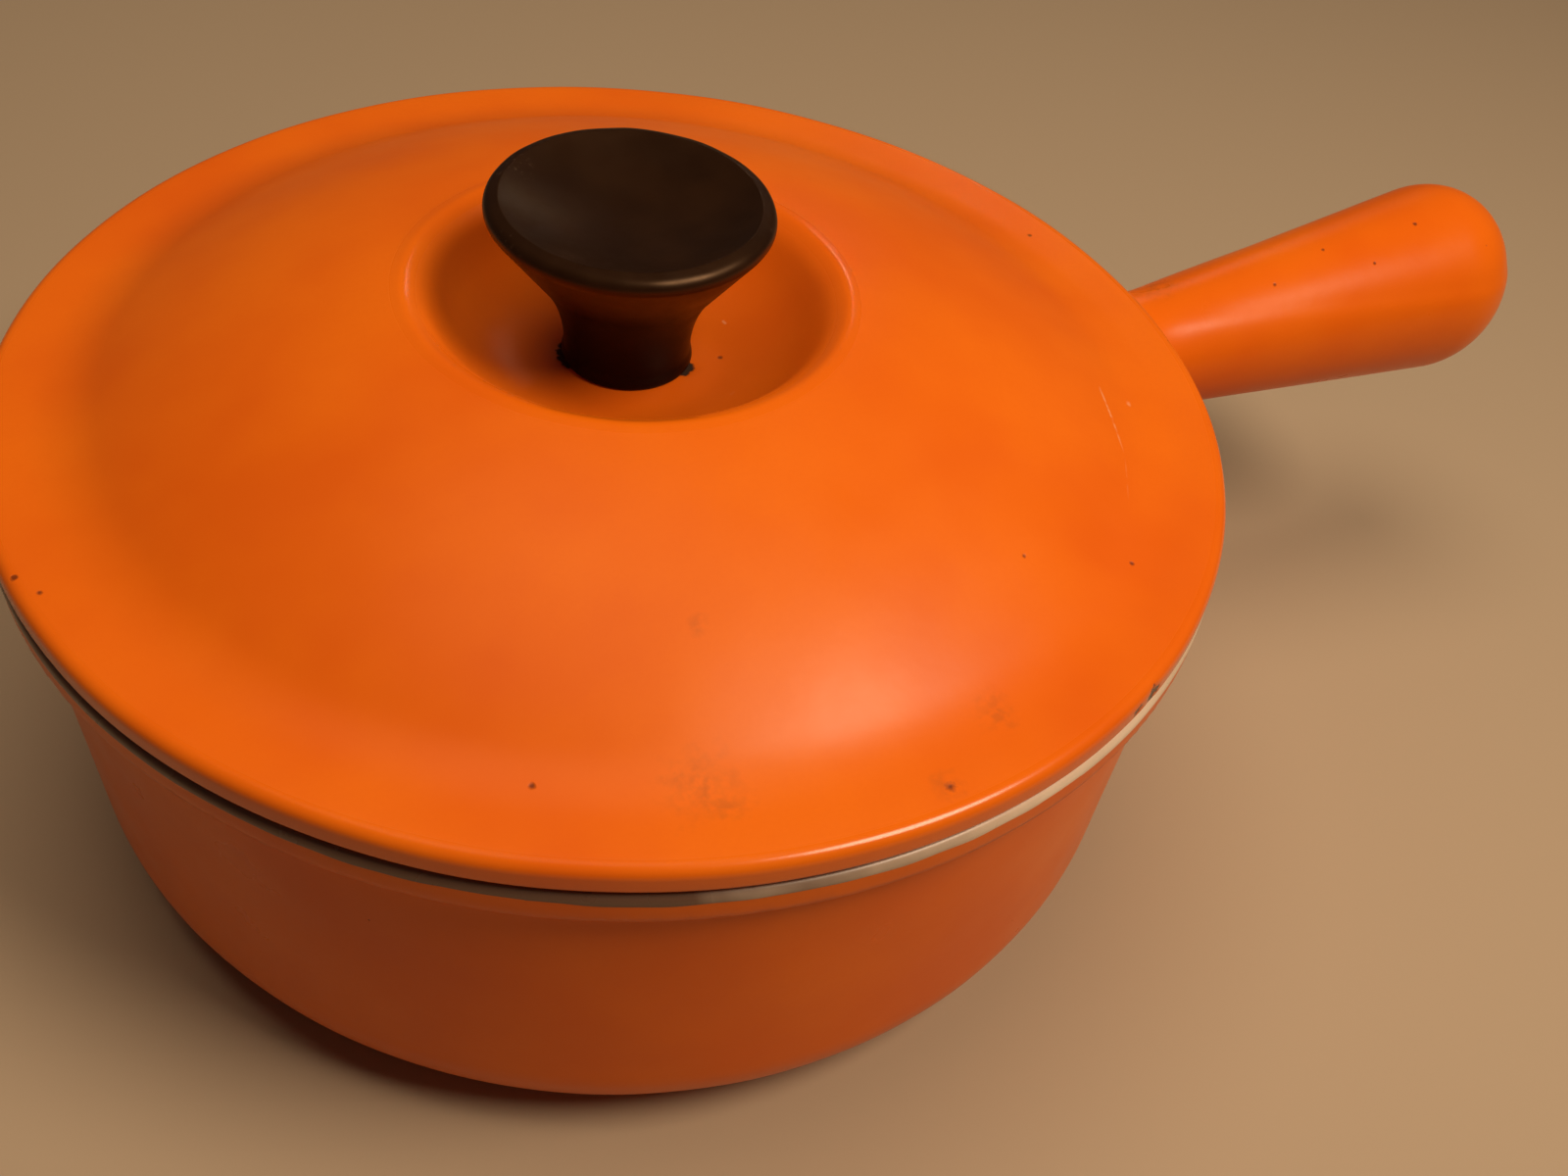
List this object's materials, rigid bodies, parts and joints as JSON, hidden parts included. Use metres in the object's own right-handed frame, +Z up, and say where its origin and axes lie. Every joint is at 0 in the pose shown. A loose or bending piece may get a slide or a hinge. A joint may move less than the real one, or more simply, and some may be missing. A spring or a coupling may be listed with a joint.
{
  "type": "covered saucepan",
  "caption": "Shallow round cast-iron saucepan, enamelled in orange outside and pale inside, with a thick tapering cast handle and a domed lid that lifts off by a dished knob.",
  "frame": {"origin": "on the bowl's axis, at the flat ground base the pan stands on", "axes": "+Z up along the bowl's axis; +X from the bowl's axis towards the tip of the handle"},
  "size_m": [0.311, 0.2104, 0.1163],
  "materials": {
    "bare_iron": "ground, slightly rough",
    "orange_enamel": "fired vitreous enamel, worn semi-gloss on the lid and gloss on the pan",
    "pale_enamel": "fired vitreous enamel, gloss, pale cream",
    "black_phenolic": "moulded phenolic, satin, worn at the rim",
    "insert_brass": "turned",
    "fixing_steel": "turned, dull"
  },
  "bodies": {
    "pan": {"pan_casting": "bare_iron", "pan_exterior_enamel": "orange_enamel", "pan_interior_enamel": "pale_enamel"},
    "lid": {"lid_casting": "bare_iron", "lid_top_enamel": "orange_enamel", "lid_underside_enamel": "pale_enamel", "knob": "black_phenolic", "knob_insert": "insert_brass", "knob_screw": "fixing_steel", "knob_washer": "fixing_steel"}
  },
  "joints": [
    {"name": "lid_lift", "type": "slide", "parent": "pan", "child": "lid", "axis": [0, 0, 1], "range_m": [0, 0.12]}
  ]
}
